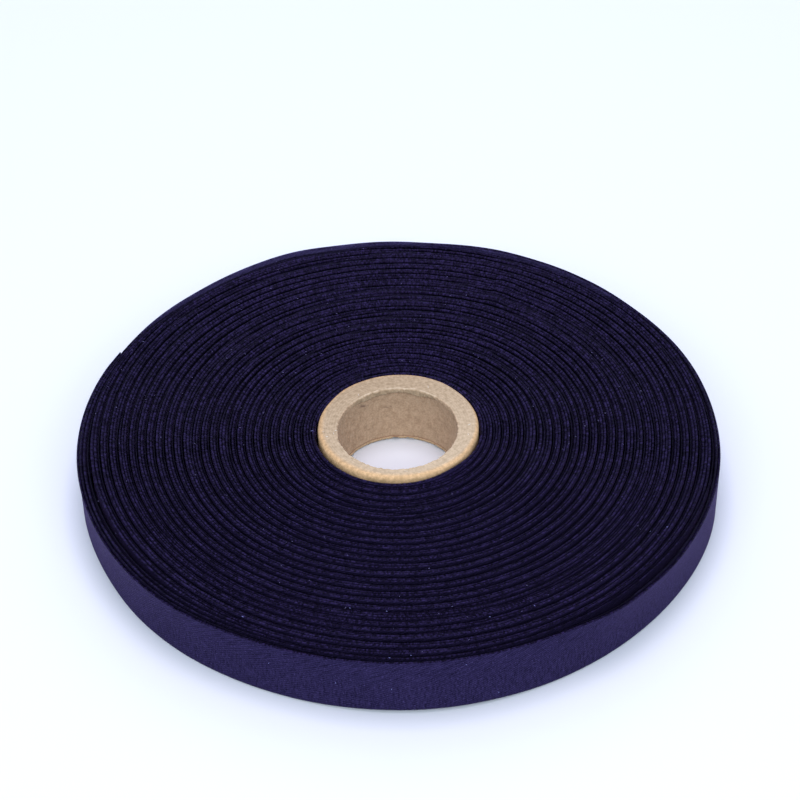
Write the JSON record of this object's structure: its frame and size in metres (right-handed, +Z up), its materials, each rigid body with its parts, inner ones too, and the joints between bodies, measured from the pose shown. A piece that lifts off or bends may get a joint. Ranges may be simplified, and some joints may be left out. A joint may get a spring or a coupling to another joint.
{
  "type": "reel of twill tape on a card core",
  "caption": "Flat reel of narrow navy twill tape, wound edge-on into a ribbed disc around a short brown card tube with an open bore.",
  "frame": {"origin": "on the reel's axis, on the surface that the reel rests on; the rim is slightly out of round, so the centre of the bounding box lies a fraction of a millimetre from it", "axes": "+Z up along the reel's axis, away from the surface; +X to the right and +Y to the back as the picture shows the reel; the cut end of the tape lies on the rim at 155.5 degrees from +X towards +Y"},
  "size_m": [0.1367, 0.137, 0.0148],
  "materials": {
    "card": "uncoated brown card tube wound from several plies, matt, with an orange-brown outer ply and a greyer, slightly frayed bore",
    "tape": "dark navy to purple woven twill tape with fine diagonal lines and a faint sheen of its yarn"
  },
  "bodies": {
    "root": {"core": "card", "wound_tape": "tape"}
  },
  "joints": []
}
